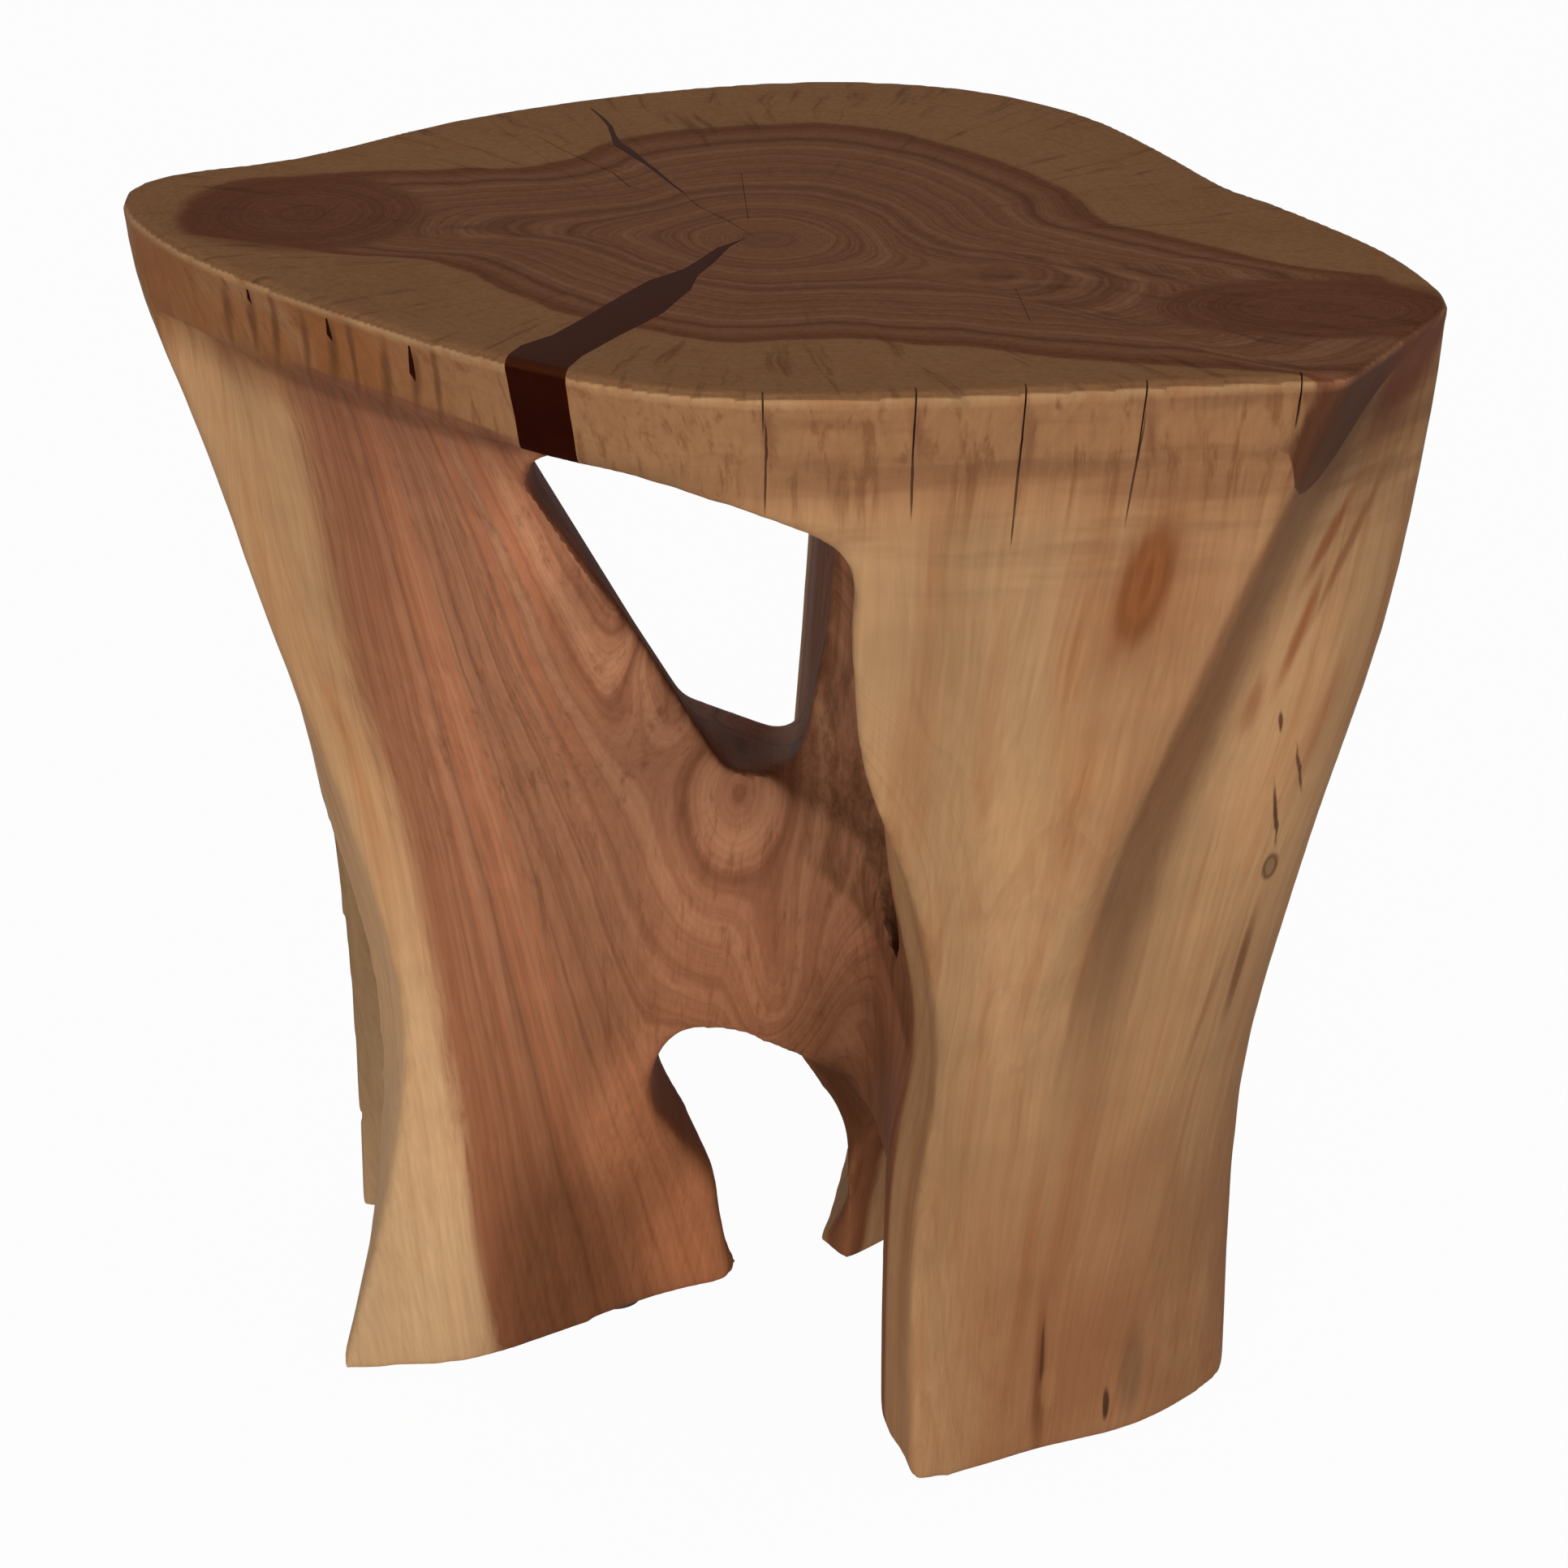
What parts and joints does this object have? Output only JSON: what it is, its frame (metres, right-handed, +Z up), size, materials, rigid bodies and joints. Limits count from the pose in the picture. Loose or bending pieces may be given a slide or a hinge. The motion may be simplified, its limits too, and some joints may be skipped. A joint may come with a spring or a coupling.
{
  "type": "carved stool",
  "caption": "Live-edge stool carved from one log, with twisting legs, open arches and resin-filled drying cracks.",
  "frame": {"origin": "centre of the seat's bounding rectangle, on the floor under the felt pads", "axes": "+X to the right along the seat's long way, +Y from the front of the seat to its back, +Z up"},
  "size_m": [0.4752, 0.4019, 0.463],
  "materials": {
    "wood": "satin lacquer",
    "filler": "gloss",
    "felt": "matte"
  },
  "bodies": {
    "root": {"carved_body": "wood", "front_crack_fill": "filler", "back_crack_fill": "filler", "rim_crack_fills": "filler", "front_left_pads": "felt", "front_right_pads": "felt", "back_left_pads": "felt", "back_right_pads": "felt"}
  },
  "joints": []
}
